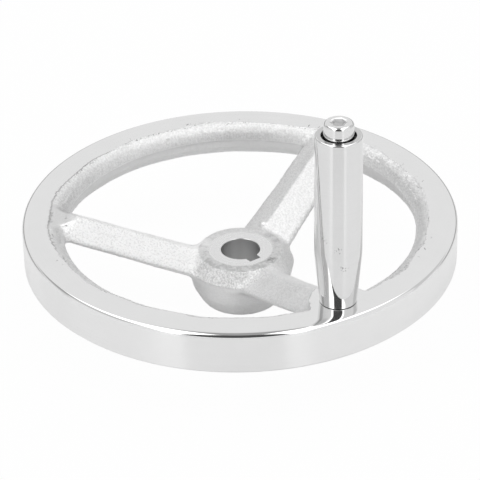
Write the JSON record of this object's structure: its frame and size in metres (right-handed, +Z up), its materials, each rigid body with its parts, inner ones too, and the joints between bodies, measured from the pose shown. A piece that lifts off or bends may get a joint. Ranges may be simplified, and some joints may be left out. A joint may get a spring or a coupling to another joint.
{
  "type": "machine handwheel",
  "caption": "Dished cast handwheel with a flat turned rim, diamond-section spokes, a keyed hub and a revolving cylindrical crank handle.",
  "frame": {"origin": "centre of the hub's flat bottom face, on the shaft axis", "axes": "+Z up along the shaft bore towards the handle side, +X towards the crank handle"},
  "size_m": [0.2, 0.2, 0.1318],
  "materials": {
    "wheel": "sand-cast spokes and inner rim, turned and polished rim face and wall",
    "handle_grip": "turned and polished",
    "handle_bush": "ground",
    "handle_screw": "bright zinc plated"
  },
  "bodies": {
    "wheel": {"wheel": "wheel", "handle_bush": "handle_bush", "handle_screw": "handle_screw"},
    "grip": {"handle_grip": "handle_grip"}
  },
  "joints": [
    {"name": "grip_spin", "type": "hinge", "parent": "wheel", "child": "grip", "pos_m": [0.0848, 0, 0.085], "axis": [0, 0, 1], "continuous": true}
  ]
}
